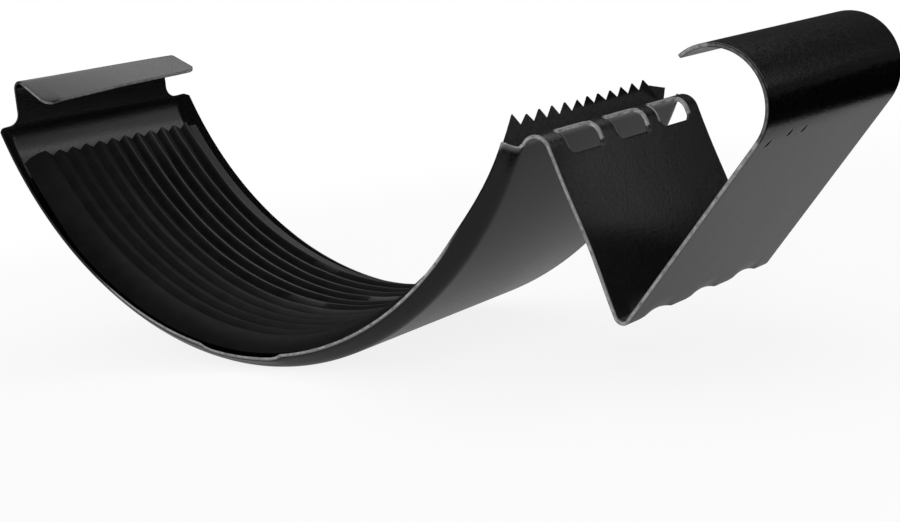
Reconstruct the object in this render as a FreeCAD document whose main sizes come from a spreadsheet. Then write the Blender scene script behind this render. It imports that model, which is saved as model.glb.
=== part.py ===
import FreeCAD, Part
import math
import os
import Sketcher

# Gutter union: one strip of painted sheet steel, pressed and folded, with a ribbed rubber gasket
# bonded in its channel. Y runs along the gutter, X to the front (the bead side), Z up.
# The origin is the lowest point of the seat, on the gasket's rib crests, half way along the gutter.
# The shapes are drawn round the axis of the saddle, and both pieces are lifted to that origin.

doc = FreeCAD.newDocument("gutter_union")
V = FreeCAD.Vector

# Driving dimensions, in millimetres and degrees. Angles of wrap count from straight down.
driving_dimensions = (
    ("gauge", 0.7),
    ("union_length", 55.0),
    ("strip_width", 47.0),
    ("tray_width", 48.0),
    ("rim_radius", 77.4),
    ("channel_depth", 2.8),
    ("joggle_angle", 50.0),
    ("rear_wrap", 68.7),
    ("front_wrap", 59.9),
    ("neck_wrap", 63.55),
    ("neck_width", 43.0),
    ("neck_corner", 2.6),
    ("neck_turn", 32.15),
    ("neck_bend", 14.0),
    ("neck_rise", 8.02),
    ("flap_bend", 1.5),
    ("flap_turn", 112.4),
    ("flap_reach", 9.4),
    ("flap_corner", 2.0),
    ("fold_bend", 2.5),
    ("fold_turn", 133.1),
    ("inner_leg", 29.72),
    ("vee_bend", 1.0),
    ("vee_turn", 119.4),
    ("outer_leg", 38.21),
    ("curl_radius", 8.6),
    ("curl_sweep", 165.0),
    ("window_count", 3),
    ("window_pitch", 14.5),
    ("window_width", 10.0),
    ("window_drop", 2.1),
    ("window_rise", 2.7),
    ("window_corner", 1.4),
    ("dart_width", 11.0),
    ("dart_depth", 1.15),
    ("bond_gap", 0.1),
    ("gasket_side_gap", 0.3),
    ("gasket_web", 4.0),
    ("gasket_edge", 3.9),
    ("gasket_rear_reach", 66.5),
    ("gasket_front_reach", 66.3),
    ("rib_count", 12),
    ("rib_pitch", 3.75),
    ("rib_height", 1.1),
    ("rib_tip", 0.3),
)
sheet = doc.addObject("Spreadsheet::Sheet", "sizes")
for row, (alias, value) in enumerate(driving_dimensions, start=1):
    sheet.set("A%d" % row, alias)
    sheet.set("B%d" % row, str(value))
    sheet.setAlias("B%d" % row, alias)
doc.recompute()


def size(alias):
    return float(sheet.get(alias))


def heading(degrees):
    return V(math.cos(math.radians(degrees)), math.sin(math.radians(degrees)), 0)


class Walk:
    """Draws a chain of tangent lines and arcs in a sketch, with each length, radius and turn bound.

    The chain starts at a radius from the origin, square to it, and goes forward round it or back."""

    def __init__(self, sketch, radius, angle, way, radius_expression, angle_expression):
        self.sketch = sketch
        self.point = heading(angle) * radius
        self.direction = angle + 90 * way
        self.spoke = sketch.addGeometry(Part.LineSegment(V(), self.point), True)
        self.last = None
        sketch.addConstraint(Sketcher.Constraint("Coincident", self.spoke, 1, -1, 1))
        bind(sketch, Sketcher.Constraint("Distance", self.spoke, radius), "start_radius", radius_expression)
        tilt = Sketcher.Constraint("Angle", self.spoke, math.radians(angle))
        bind(sketch, tilt, "start_angle", angle_expression)

    def join(self, geometry, first_end):
        if self.last is None:
            self.sketch.addConstraint(Sketcher.Constraint("Coincident", self.spoke, 2, geometry, first_end))
            self.sketch.addConstraint(Sketcher.Constraint("PointOnObject", geometry, 3, self.spoke))
        else:
            previous, previous_end = self.last
            tangent = Sketcher.Constraint("Tangent", previous, previous_end, geometry, first_end)
            self.sketch.addConstraint(tangent)

    def line(self, name, length):
        end = self.point + heading(self.direction) * length
        geometry = self.sketch.addGeometry(Part.LineSegment(self.point, end))
        self.join(geometry, 1)
        bind(self.sketch, Sketcher.Constraint("Distance", geometry, length), name, "sizes." + name)
        self.point = end
        self.last = (geometry, 2)

    def arc(self, name, radius, turn, radius_expression, turn_expression):
        side = 90 if turn > 0 else -90
        centre = self.point + heading(self.direction + side) * radius
        start = math.radians(self.direction - side)
        end = start + math.radians(turn)
        circle = Part.Circle(centre, V(0, 0, 1), radius)
        geometry = self.sketch.addGeometry(Part.ArcOfCircle(circle, min(start, end), max(start, end)))
        first_end, second_end = (1, 2) if turn > 0 else (2, 1)
        self.join(geometry, first_end)
        round_size = Sketcher.Constraint("Radius", geometry, radius)
        bind(self.sketch, round_size, name + "_radius", radius_expression)
        angle = Sketcher.Constraint("Angle", geometry, math.radians(abs(turn)))
        bind(self.sketch, angle, name + "_turn", turn_expression + " * 1 deg")
        self.point = centre + heading(math.degrees(end)) * radius
        self.direction += turn
        self.last = (geometry, second_end)


def bind(sketch, constraint, name, expression):
    index = sketch.addConstraint(constraint)
    sketch.renameConstraint(index, name)
    sketch.setExpression("Constraints." + name, expression)


def add(kind, name, **properties):
    item = doc.addObject(kind, name)
    for key, value in properties.items():
        setattr(item, key, value)
    return item


def thicken(path, name, offset_expression):
    face = add("Part::Offset2D", name, Source=path, Mode="Skin", Join="Tangent", Fill=True)
    face.setExpression("Value", offset_expression)
    return face


def along_gutter(name, section, width_expression):
    """A section made as wide as asked, half on each side of the middle."""
    solid = add("Part::Extrusion", name, Base=section, DirMode="Custom", Dir=V(0, 1, 0))
    solid.Solid = True
    solid.Symmetric = True
    solid.setExpression("LengthFwd", width_expression)
    return solid


def outline(sketch, points, places):
    """A closed outline of straight lines, each corner bound to its place."""
    lines = []
    for index, point in enumerate(points):
        following = points[(index + 1) % len(points)]
        lines.append(sketch.addGeometry(Part.LineSegment(V(*point, 0), V(*following, 0))))
    for index, line in enumerate(lines):
        sketch.addConstraint(Sketcher.Constraint("Coincident", line, 2, lines[(index + 1) % len(lines)], 1))
        for axis, value, expression in zip("XY", points[index], places[index]):
            distance = Sketcher.Constraint("Distance" + axis, -1, 1, line, 1, value)
            bind(sketch, distance, "corner_%d_%s" % (index + 1, axis.lower()), expression)


def mirrored_outline(sketch, half, half_expressions):
    """An outline with the same half on both sides of the middle of the saddle."""
    other_half = [(radius, -side) for radius, side in reversed(half)]
    other_expressions = [(radius, "-(%s)" % side) for radius, side in reversed(half_expressions)]
    outline(sketch, list(half) + other_half, list(half_expressions) + other_expressions)


def turned(name, start, half, half_expressions, sweep_expression):
    """A section in a plane through the axis, turned forward round the axis from a wrap at the back."""
    sketch = add("Sketcher::SketchObject", name + "_section")
    sketch.Placement = FreeCAD.Placement(V(), FreeCAD.Rotation(V(0, 1, 0), 90))
    sketch.setExpression("Placement.Rotation.Angle", "(90 + sizes.%s) * 1 deg" % start)
    mirrored_outline(sketch, half, half_expressions)
    solid = add("Part::Revolution", name, Source=sketch, Axis=V(0, -1, 0), Base=V(), Solid=True)
    solid.setExpression("Angle", sweep_expression)
    return solid


def turned_up(name, forward, sweep_expression):
    """The same section turned the other way, round the bend where the neck leaves the saddle."""
    solid = add("Part::Revolution", name, Source=forward.Source, Axis=V(0, 1, 0), Solid=True)
    bend_centre = "-(%s - sizes.neck_bend)" % floor_expression
    solid.setExpression("Base.x", bend_centre + " * sin(sizes.neck_wrap * 1 deg)")
    solid.setExpression("Base.z", bend_centre + " * cos(sizes.neck_wrap * 1 deg)")
    solid.setExpression("Angle", sweep_expression)
    return solid


def rod(name, start, direction, radius_expression, height_expression):
    cylinder = add("Part::Cylinder", name)
    cylinder.Placement = FreeCAD.Placement(start, FreeCAD.Rotation(V(0, 0, 1), direction))
    cylinder.setExpression("Radius", radius_expression)
    cylinder.setExpression("Height", height_expression)
    return cylinder


def in_section(point, y=0.0):
    return V(point.x, y, point.y)


floor_radius = size("rim_radius") + size("channel_depth")
floor_expression = "sizes.rim_radius + sizes.channel_depth"
seat_expression = floor_expression + " - sizes.bond_gap - sizes.gasket_web - sizes.rib_height"
side_plane = FreeCAD.Placement(V(), FreeCAD.Rotation(V(1, 0, 0), 90))
slope = math.tan(math.radians(size("joggle_angle")))
slope_expression = "tan(sizes.joggle_angle * 1 deg)"
half_floor = size("tray_width") / 2
half_floor_expression = "sizes.tray_width / 2"

# The saddle: a band bent round the gutter, with a shallow tray for the gasket pressed outwards
# between its two rims. The tray is open at both ends.
half_length = size("union_length") / 2
band = turned("band", "rear_wrap",
              ((size("rim_radius"), half_length),
               (size("rim_radius") + size("gauge"), half_length)),
              (("sizes.rim_radius", "sizes.union_length / 2"),
               ("sizes.rim_radius + sizes.gauge", "sizes.union_length / 2")),
              "sizes.rear_wrap + sizes.front_wrap")

# Outside, the tray starts in the middle of the band's thickness.
outer_half = half_floor + size("gauge") * math.tan(math.radians(size("joggle_angle") / 2))
outer_expression = half_floor_expression + " + sizes.gauge * tan(sizes.joggle_angle / 2 * 1 deg)"
root_half = outer_half + (size("channel_depth") + size("gauge") / 2) / slope
root_expression = outer_expression + " + (sizes.channel_depth + sizes.gauge / 2) / " + slope_expression
tray_wrap = "sizes.neck_wrap + sizes.front_wrap"
tray_outside = turned("tray_outside", "neck_wrap",
                      ((size("rim_radius") + size("gauge") / 2, root_half),
                       (floor_radius + size("gauge"), outer_half)),
                      (("sizes.rim_radius + sizes.gauge / 2", root_expression),
                       (floor_expression + " + sizes.gauge", outer_expression)),
                      tray_wrap)

# Inside, the hollow reaches as far above the rims as below them, and runs on past the front end.
mouth_half = half_floor + 2 * size("channel_depth") / slope
mouth_expression = half_floor_expression + " + 2 * sizes.channel_depth / " + slope_expression
tray_inside = turned("tray_inside", "neck_wrap",
                     ((size("rim_radius") - size("channel_depth"), mouth_half),
                      (floor_radius, half_floor)),
                     (("sizes.rim_radius - sizes.channel_depth", mouth_expression),
                      (floor_expression, half_floor_expression)),
                     tray_wrap + " + sizes.joggle_angle")

# Where the neck leaves the saddle, the tray turns up with it and gets shallower between the rims' ends.
rim_core = rod("rim_core", V(0, -size("union_length"), 0), V(0, 1, 0),
               "sizes.rim_radius + sizes.gauge / 2", "2 * sizes.union_length")
rim_core.setExpression("Placement.Base.y", "-sizes.union_length")
root_outside = add("Part::Cut", "root_outside", Tool=rim_core,
                   Base=turned_up("root_turn", tray_outside, "sizes.neck_turn"))
root_inside = turned_up("root_inside", tray_inside, "sizes.neck_turn + sizes.joggle_angle / 4")
pressed = add("Part::MultiFuse", "pressed", Shapes=[band, tray_outside, root_outside])
hollow = add("Part::MultiFuse", "hollow", Shapes=[tray_inside, root_inside])
saddle = add("Part::Cut", "saddle", Base=pressed, Tool=hollow)

# At the back the tray's floor runs on as a neck, which turns upright and ends in a hooked flap.
# This is its gutter-side face, seen along the gutter.
neck_path = add("Sketcher::SketchObject", "neck_path", Placement=side_plane)
neck_walk = Walk(neck_path, floor_radius, -90 - size("neck_wrap"), -1,
                 floor_expression, "(-90 - sizes.neck_wrap) * 1 deg")
neck_walk.arc("neck", size("neck_bend"), -size("neck_turn"), "sizes.neck_bend", "sizes.neck_turn")
neck_walk.line("neck_rise", size("neck_rise"))
neck_walk.arc("flap", size("flap_bend"), -size("flap_turn"), "sizes.flap_bend", "sizes.flap_turn")
neck_walk.line("flap_reach", size("flap_reach"))
flap_end = V(neck_walk.point)
neck_section = thicken(neck_path, "neck_section", "-sizes.gauge")
neck = along_gutter("neck", neck_section, "sizes.strip_width")

# The clip's gutter-side face, seen along the gutter: from the tray floor over the perforated fold,
# down the inner leg, round the spring vee, up the outer leg and round the curl that snaps on the bead.
clip_path = add("Sketcher::SketchObject", "clip_path", Placement=side_plane)
clip_walk = Walk(clip_path, floor_radius, size("front_wrap") - 90, 1,
                 floor_expression, "(sizes.front_wrap - 90) * 1 deg")
fold_radius = size("fold_bend") + size("gauge")
clip_walk.arc("fold", fold_radius, -size("fold_turn"), "sizes.fold_bend + sizes.gauge", "sizes.fold_turn")
leg_top = V(clip_walk.point)
leg_direction = clip_walk.direction
clip_walk.line("inner_leg", size("inner_leg"))
vee_centre = clip_walk.point + heading(clip_walk.direction + 90) * size("vee_bend")
clip_walk.arc("vee", size("vee_bend"), size("vee_turn"), "sizes.vee_bend", "sizes.vee_turn")
clip_walk.line("outer_leg", size("outer_leg"))
clip_walk.arc("curl", size("curl_radius"), size("curl_sweep"), "sizes.curl_radius", "sizes.curl_sweep")
clip_section = thicken(clip_path, "clip_section", "sizes.gauge")
clip = along_gutter("clip", clip_section, "sizes.strip_width")


def rounded_rectangle(sketch, name, low, high, corner, middle_and_width, ends, corner_expression):
    """Adds a rectangle with round corners, its sides bound as middle and width, its ends as places."""
    corners = (V(high.x, low.y, 0), V(high.x, high.y, 0), V(low.x, high.y, 0), V(low.x, low.y, 0))
    steps = (V(0, 1, 0), V(-1, 0, 0), V(0, -1, 0), V(1, 0, 0))
    lines = []
    arcs = []
    for index in range(4):
        following = corners[(index + 1) % 4]
        begin = corners[index] + steps[index] * corner
        finish = following - steps[index] * corner
        lines.append(sketch.addGeometry(Part.LineSegment(begin, finish)))
        centre = finish + steps[(index + 1) % 4] * corner
        circle = Part.Circle(centre, V(0, 0, 1), corner)
        quarter = Part.ArcOfCircle(circle, math.pi / 2 * index, math.pi / 2 * (index + 1))
        arcs.append(sketch.addGeometry(quarter))
    for index in range(4):
        sketch.addConstraint(Sketcher.Constraint("Tangent", lines[index], 2, arcs[index], 1))
        sketch.addConstraint(Sketcher.Constraint("Tangent", arcs[index], 2, lines[(index + 1) % 4], 1))
        straight = "Vertical" if index % 2 == 0 else "Horizontal"
        sketch.addConstraint(Sketcher.Constraint(straight, lines[index]))
    for index in range(1, 4):
        sketch.addConstraint(Sketcher.Constraint("Equal", arcs[0], arcs[index]))
    bind(sketch, Sketcher.Constraint("Radius", arcs[0], corner), name + "_corner", corner_expression)
    left = Sketcher.Constraint("DistanceX", -1, 1, lines[2], 1, low.x)
    right = Sketcher.Constraint("DistanceX", -1, 1, lines[0], 1, high.x)
    bind(sketch, left, name + "_left", "(%s) - (%s) / 2" % middle_and_width)
    bind(sketch, right, name + "_right", "(%s) + (%s) / 2" % middle_and_width)
    bind(sketch, Sketcher.Constraint("DistanceY", -1, 1, lines[3], 1, low.y), name + "_low", ends[0])
    bind(sketch, Sketcher.Constraint("DistanceY", -1, 1, lines[1], 1, high.y), name + "_high", ends[1])


# Three round-cornered windows weaken the fold so that it bends by hand. Their sketch lies on the
# inner leg, with its own X along Y and its own Y up the leg, and they stop at the fold's middle.
up_leg = in_section(heading(leg_direction + 180))
leg_normal = in_section(heading(leg_direction + 90))
leg_frame = FreeCAD.Rotation(V(0, 1, 0), up_leg, leg_normal * -1, "XYZ")
window_sketch = add("Sketcher::SketchObject", "window_sketch")
window_sketch.Placement = FreeCAD.Placement(in_section(leg_top), leg_frame)
for index in range(int(size("window_count"))):
    offset = index - (size("window_count") - 1) / 2
    middle = offset * size("window_pitch")
    low = V(middle - size("window_width") / 2, -size("window_drop"), 0)
    high = V(middle + size("window_width") / 2, size("window_rise"), 0)
    rounded_rectangle(window_sketch, "window_%d" % (index + 1), low, high, size("window_corner"),
                      ("%g * sizes.window_pitch" % offset, "sizes.window_width"),
                      ("-sizes.window_drop", "sizes.window_rise"), "sizes.window_corner")
windows = add("Part::Extrusion", "windows", Base=window_sketch, DirMode="Custom", Solid=True)
windows.Dir = leg_normal * -1
windows.setExpression("LengthFwd", "sizes.fold_bend + sizes.gauge")
windows.setExpression("LengthRev", "sizes.gauge")

# The neck is narrower than the strip: a rounded notch on each side, level with the rims' ends.
rim_end = heading(-90 - size("rear_wrap")) * size("rim_radius")
notch_sketch = add("Sketcher::SketchObject", "notch_sketch")
back_view = FreeCAD.Rotation(V(0, 1, 0), V(0, 0, 1), V(1, 0, 0), "XYZ")
notch_sketch.Placement = FreeCAD.Placement(V(0, 0, rim_end.y), back_view)
for name, side in (("near", -1), ("far", 1)):
    low = V(min(side * size("neck_width") / 2, side * 1.5 * size("neck_width") / 2), 0, 0)
    high = V(max(side * size("neck_width") / 2, side * 1.5 * size("neck_width") / 2), floor_radius, 0)
    rounded_rectangle(notch_sketch, name, low, high, size("neck_corner"),
                      ("%g * sizes.neck_width * 5 / 8" % side, "sizes.neck_width / 4"),
                      ("0 * sizes.gauge", floor_expression), "sizes.neck_corner")
notches = add("Part::Extrusion", "notches", Base=notch_sketch, DirMode="Custom", Solid=True)
notches.Dir = V(-1, 0, 0)
notches.setExpression("LengthFwd", "2 * (%s)" % floor_expression)

# Three darts pressed into the bottom of the vee stiffen it. Each is a shallow round groove
# across the bend, and the sheet follows it on the inside.
vee_up = in_section(heading(leg_direction + 180 - (180 - size("vee_turn")) / 2))
across = V(0, 1, 0).cross(vee_up)
dart_radius = ((size("dart_width") / 2) ** 2 + size("dart_depth") ** 2) / (2 * size("dart_depth"))
apex_radius = size("vee_bend") + size("gauge")
dart_axis = in_section(vee_centre) - vee_up * (apex_radius - size("dart_depth") + dart_radius)
dart_expression = "((sizes.dart_width / 2) ^ 2 + sizes.dart_depth ^ 2) / (2 * sizes.dart_depth)"

grooves = []
darts = []
across_height = "4 * (sizes.vee_bend + sizes.gauge)"
bend_radius = "sizes.vee_bend + sizes.gauge / 2"
for index in range(int(size("window_count"))):
    number = index + 1
    middle = (index - (size("window_count") - 1) / 2) * size("window_pitch")
    place = dart_axis + V(0, middle, 0) - across * (2 * apex_radius)
    grooves.append(rod("groove_%d" % number, place, across, dart_expression, across_height))
    lining = rod("lining_%d" % number, place, across, dart_expression + " + sizes.gauge", across_height)
    bend_start = in_section(vee_centre, middle - size("dart_width") / 2)
    bend_core = rod("bend_core_%d" % number, bend_start, V(0, 1, 0), bend_radius, "sizes.dart_width")
    darts.append(add("Part::MultiCommon", "dart_%d" % number, Shapes=[lining, bend_core]))
stiffened = add("Part::MultiFuse", "stiffened", Shapes=[saddle, clip, neck] + darts, Refine=True)
cutters = add("Part::MultiFuse", "cutters", Shapes=[windows, notches] + grooves)
folded = add("Part::Cut", "folded", Base=stiffened, Tool=cutters, Refine=True)
doc.recompute()

# The flap's free corners are rounded.
flap_corners = []
for number, edge in enumerate(folded.Shape.Edges, start=1):
    middle = edge.CenterOfMass
    on_side = abs(abs(middle.y) - size("neck_width") / 2) < 0.01
    at_end = (V(middle.x, middle.z, 0) - flap_end).Length < size("gauge")
    if on_side and at_end and abs(edge.Length - size("gauge")) < 0.01:
        flap_corners.append((number, size("flap_corner"), size("flap_corner")))
union_sheet = add("Part::Fillet", "union_sheet", Base=folded, Edges=flap_corners)
union_sheet.Label = "union_sheet"
union_sheet.setExpression("Placement.Base.z", seat_expression)

# The gasket: a rubber band with round-the-gutter ribs and plain margins, moulded to the curve and
# bonded to the tray floor. Its section lies at the bottom of the saddle, in the body's own XY plane.
gasket = add("PartDesign::Body", "gasket")
gasket.Label = "gasket"
gasket.Placement = FreeCAD.Placement(V(), FreeCAD.Rotation(V(0, 1, 0), 90))
gasket.setExpression("Placement.Base.z", seat_expression)
section_plane = [plane for plane in gasket.Origin.OriginFeatures if plane.Role == "XY_Plane"][0]
side_view = [plane for plane in gasket.Origin.OriginFeatures if plane.Role == "XZ_Plane"][0]
gutter_axis = [line for line in gasket.Origin.OriginFeatures if line.Role == "Y_Axis"][0]
bond_radius = floor_radius - size("bond_gap")
bond_expression = floor_expression + " - sizes.bond_gap"


def gasket_sketch(name, plane):
    sketch = gasket.newObject("Sketcher::SketchObject", name)
    sketch.AttachmentSupport = [(plane, "")]
    sketch.MapMode = "FlatFace"
    return sketch


def turned_feature(name, sketch):
    feature = gasket.newObject("PartDesign::Revolution", name)
    feature.Profile = sketch
    feature.ReferenceAxis = (gutter_axis, [""])
    feature.Midplane = True
    feature.setExpression("Angle", "2 * sizes.rear_wrap")
    return feature


half_gasket = half_floor - size("gasket_side_gap")
half_expression = "(%s - sizes.gasket_side_gap)" % half_floor_expression
ribbed = size("rib_count") * size("rib_pitch") / 2
ribbed_expression = "(sizes.rib_count * sizes.rib_pitch / 2)"
valley_radius = bond_radius - size("gasket_web")
valley_expression = bond_expression + " - sizes.gasket_web"
edge_radius = bond_radius - size("gasket_edge")
edge_expression = bond_expression + " - sizes.gasket_edge"
bead = (half_gasket + ribbed) / 2
bead_expression = "((%s + %s) / 2)" % (half_expression, ribbed_expression)
web_half = ((bond_radius, half_gasket), (edge_radius, half_gasket),
            (edge_radius, bead), (valley_radius, ribbed))
web_expressions = ((bond_expression, half_expression), (edge_expression, half_expression),
                   (edge_expression, bead_expression), (valley_expression, ribbed_expression))
web_sketch = gasket_sketch("web_section", section_plane)
mirrored_outline(web_sketch, web_half, web_expressions)
web = turned_feature("web", web_sketch)

first_rib = -(size("rib_count") - 1) / 2 * size("rib_pitch")
first_expression = "-(sizes.rib_count - 1) / 2 * sizes.rib_pitch"
rib_top = valley_radius - size("rib_height")
rib_top_expression = valley_expression + " - sizes.rib_height"
rib_points = ((valley_radius, first_rib - size("rib_pitch") / 2),
              (valley_radius + size("rib_tip"), first_rib),
              (valley_radius, first_rib + size("rib_pitch") / 2),
              (rib_top, first_rib + size("rib_tip") / 2),
              (rib_top, first_rib - size("rib_tip") / 2))
rib_places = ((valley_expression, first_expression + " - sizes.rib_pitch / 2"),
              (valley_expression + " + sizes.rib_tip", first_expression),
              (valley_expression, first_expression + " + sizes.rib_pitch / 2"),
              (rib_top_expression, first_expression + " + sizes.rib_tip / 2"),
              (rib_top_expression, first_expression + " - sizes.rib_tip / 2"))
rib_sketch = gasket_sketch("rib_section", section_plane)
outline(rib_sketch, rib_points, rib_places)
rib = turned_feature("rib", rib_sketch)
doc.recompute()
ribs = gasket.newObject("PartDesign::LinearPattern", "ribs")
ribs.Originals = [rib]
ribs.Direction = (gutter_axis, [""])
ribs.setExpression("Length", "(sizes.rib_count - 1) * sizes.rib_pitch")
ribs.setExpression("Occurrences", "sizes.rib_count")
gasket.Tip = ribs
doc.recompute()

# Both ends of the gasket are upright, so the rib crests reach out over their roots.
whole_gasket = ribs.Shape.Volume
for name, way in (("front", 1), ("rear", -1)):
    reach = size("gasket_%s_reach" % name) * way
    reach_expression = "%d * sizes.gasket_%s_reach" % (way, name)
    past = 2 * floor_radius * way
    past_expression = "%d * 2 * (%s)" % (way, floor_expression)
    end_points = ((0, reach), (floor_radius, reach), (floor_radius, past), (0, past))
    end_places = (("0 * sizes.gauge", reach_expression), (floor_expression, reach_expression),
                  (floor_expression, past_expression), ("0 * sizes.gauge", past_expression))
    end_sketch = gasket_sketch(name + "_end", side_view)
    outline(end_sketch, end_points, end_places)
    trim = gasket.newObject("PartDesign::Pocket", name + "_trim")
    trim.Profile = end_sketch
    trim.Type = "ThroughAll"
    trim.Midplane = True
    gasket.Tip = trim
    doc.recompute()

# Nothing is written unless every feature came out whole.
for item in doc.Objects:
    if "Invalid" in item.State or "Error" in item.State:
        raise RuntimeError("%s did not build: %s" % (item.Name, item.State))
if not windows.Shape.Volume > 0 or not folded.Shape.Volume < stiffened.Shape.Volume:
    raise RuntimeError("the windows, notches and darts cut nothing")
if not whole_gasket > web.Shape.Volume:
    raise RuntimeError("the ribs add nothing")
if not gasket.Shape.Volume < whole_gasket:
    raise RuntimeError("the ends of the gasket are not trimmed")
os.makedirs("parts", exist_ok=True)
for node in (union_sheet, gasket):
    shape = node.Shape
    if shape.isNull() or not shape.isValid() or len(shape.Solids) != 1:
        raise RuntimeError("%s is not one valid solid" % node.Label)
    shape.exportStep("parts/%s.step" % node.Label)
    print(node.Label, "volume %.1f" % shape.Volume, shape.BoundBox)
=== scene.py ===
import math

import bpy
import numpy as np
from mathutils import Matrix, Vector


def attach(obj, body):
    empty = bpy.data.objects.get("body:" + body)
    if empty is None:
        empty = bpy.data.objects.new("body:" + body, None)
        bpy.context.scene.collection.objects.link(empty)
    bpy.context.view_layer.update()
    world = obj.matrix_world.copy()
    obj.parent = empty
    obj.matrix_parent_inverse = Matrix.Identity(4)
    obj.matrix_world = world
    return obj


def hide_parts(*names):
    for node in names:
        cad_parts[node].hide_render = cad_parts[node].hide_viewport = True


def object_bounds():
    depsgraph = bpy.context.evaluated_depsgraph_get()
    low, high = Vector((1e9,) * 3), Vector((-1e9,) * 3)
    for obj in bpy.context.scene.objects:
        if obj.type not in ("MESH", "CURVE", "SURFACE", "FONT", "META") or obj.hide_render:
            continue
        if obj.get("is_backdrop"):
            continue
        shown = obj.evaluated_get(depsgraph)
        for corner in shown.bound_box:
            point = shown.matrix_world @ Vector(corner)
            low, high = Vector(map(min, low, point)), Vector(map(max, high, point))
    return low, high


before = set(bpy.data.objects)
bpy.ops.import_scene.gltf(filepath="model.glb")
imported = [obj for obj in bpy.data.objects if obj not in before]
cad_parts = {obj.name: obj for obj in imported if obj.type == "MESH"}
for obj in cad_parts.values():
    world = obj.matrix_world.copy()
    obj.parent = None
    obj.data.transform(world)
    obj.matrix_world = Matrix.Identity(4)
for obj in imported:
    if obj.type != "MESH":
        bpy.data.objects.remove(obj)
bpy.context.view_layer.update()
scene = bpy.context.scene
scene.view_settings.view_transform = "Standard"
mm = 0.001
seatLift = 75.0  # the saddle's axis is this far above the row's origin, in mm
print("frame loaded:", sorted(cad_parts))


# Camera, at the photograph's place
cameraSettings = {
    "place": (0.217173, -0.213512, 0.059367),
    "right": (0.75990168, 0.63271049, -0.14908678),
    "up": (0.00194545, 0.22713621, 0.97386106),
    "lens": 58.80,
    "sensor": 36.0,
}


def addCamera(settings):
    data = bpy.data.cameras.new("camera")
    data.lens = settings["lens"]
    data.sensor_width = settings["sensor"]
    data.clip_start = 0.01
    camera = bpy.data.objects.new("camera", data)
    scene.collection.objects.link(camera)
    right = Vector(settings["right"]).normalized()
    up = Vector(settings["up"]).normalized()
    turn = Matrix((right, up, right.cross(up))).transposed()
    camera.matrix_world = Matrix.Translation(settings["place"]) @ turn.to_4x4()
    scene.camera = camera


addCamera(cameraSettings)
print("camera set")


# Drawing with edit-mode operators: a pen that leaves an edge chain in the XZ plane
def newVertex(name, point):
    bpy.ops.object.select_all(action="DESELECT")
    bpy.ops.mesh.primitive_plane_add(size=mm)
    piece = bpy.context.object
    piece.name = name
    piece.data.name = name
    bpy.ops.object.mode_set(mode="EDIT")
    bpy.ops.mesh.select_all(action="SELECT")
    bpy.ops.mesh.merge(type="CENTER")
    bpy.ops.transform.translate(value=point)
    return piece


def heading(degrees):
    return Vector((math.cos(math.radians(degrees)), 0, math.sin(math.radians(degrees))))


def drawSteps(pen, lengths):
    for length in lengths:
        step = heading(pen["heading"]) * length * mm
        bpy.ops.mesh.extrude_region_move(TRANSFORM_OT_translate={"value": step})
        pen["point"] = pen["point"] + step


def drawLine(pen, length, steps):
    drawSteps(pen, [length / steps] * steps)


def drawBend(pen, radius, turn, steps):
    side = 90 if turn > 0 else -90
    centre = pen["point"] + heading(pen["heading"] + side) * radius * mm
    bpy.ops.mesh.spin(steps=steps, angle=math.radians(turn), center=centre, axis=(0, 1, 0))
    pen["point"] = centre + heading(pen["heading"] - side + turn) * radius * mm
    pen["heading"] += turn
    return centre


def selectOnly(piece, mask, kind="vertices"):
    bpy.ops.object.mode_set(mode="OBJECT")
    for items in (piece.data.vertices, piece.data.edges, piece.data.polygons):
        items.foreach_set("select", np.zeros(len(items), bool))
    getattr(piece.data, kind).foreach_set("select", np.asarray(mask, bool))
    bpy.ops.object.mode_set(mode="EDIT")


def readPlaces(piece):
    places = np.zeros(len(piece.data.vertices) * 3)
    piece.data.vertices.foreach_get("co", places)
    return places.reshape(-1, 3) / mm - (0, 0, seatLift)


def writePlaces(piece, places):
    piece.data.vertices.foreach_set("co", ((places + (0, 0, seatLift)) * mm).ravel())
    piece.data.update()


def readAttribute(piece, name, kind):
    values = np.zeros(len(piece.data.vertices), kind)
    piece.data.attributes[name].data.foreach_get("value", values)
    return values


def smooth(value):
    value = np.clip(value, 0, 1)
    return value * value * (3 - 2 * value)


def finishModifier(piece, kind, name, **values):
    modifier = piece.modifiers.new(name, kind)
    for key, value in values.items():
        setattr(modifier, key, value)
    bpy.ops.object.modifier_apply(modifier=modifier.name)


# The folded sheet. Its gutter-side face is drawn as one strip, then thickened to the outside.
sheetSettings = {
    "gauge": 0.7,
    "floorRadius": 80.2,
    "rimRadius": 77.4,
    "frontWrap": 59.9,
    "neckWrap": 63.55,
    "rearWrap": 68.7,
    "neckBend": (14.0, -32.15),
    "neckRise": 8.02,
    "neckFillet": 2.6,
    "flapBend": (1.5, -112.4),
    "flapReach": 9.4,
    "flapCorner": 2.0,
    "fold": (3.2, -133.1),
    "innerLeg": 29.72,
    "vee": (1.0, 119.4),
    "outerLeg": 38.21,
    "curl": (8.6, 165.0),
    "rimHalf": 27.5,
    "floorHalf": 24.1,
    "clipHalf": 23.5,
    "neckHalf": 21.5,
    "farRise": 0.5,
    "joggle": (23.9, 28.6),
    "windowMiddles": (-13.6, 0.9, 14.8),
    "windowHalf": 4.9,
    "windowDrop": 2.0,
    "windowRise": 3.2,
    "windowCorner": 1.1,
    "windowWearAndHighlight": (0.42, 0.7),
    "dartMiddles": (-14.5, 0.0, 14.5),
    "dartWidth": 11.0,
    "dartDepth": 1.15,
    "flapTwist": (-1.0, -6.0, -2.5),
    "flapFarEnd": 1.7,
    "flapSag": 0.35,
    "frontFlare": 1.4,
    "frontStretch": 0.6,
    "lipRange": (-12.0, 4.5),
    "lipDrop": 0.6,
    "veeSkew": (-0.1, -0.45),
    "legBow": 0.35,
    "arris": 0.15,
}
flapRows, flapEndRows, flapBendRows, riseRows, filletRows, neckBendRows = 6, 7, 12, 6, 8, 8
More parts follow.
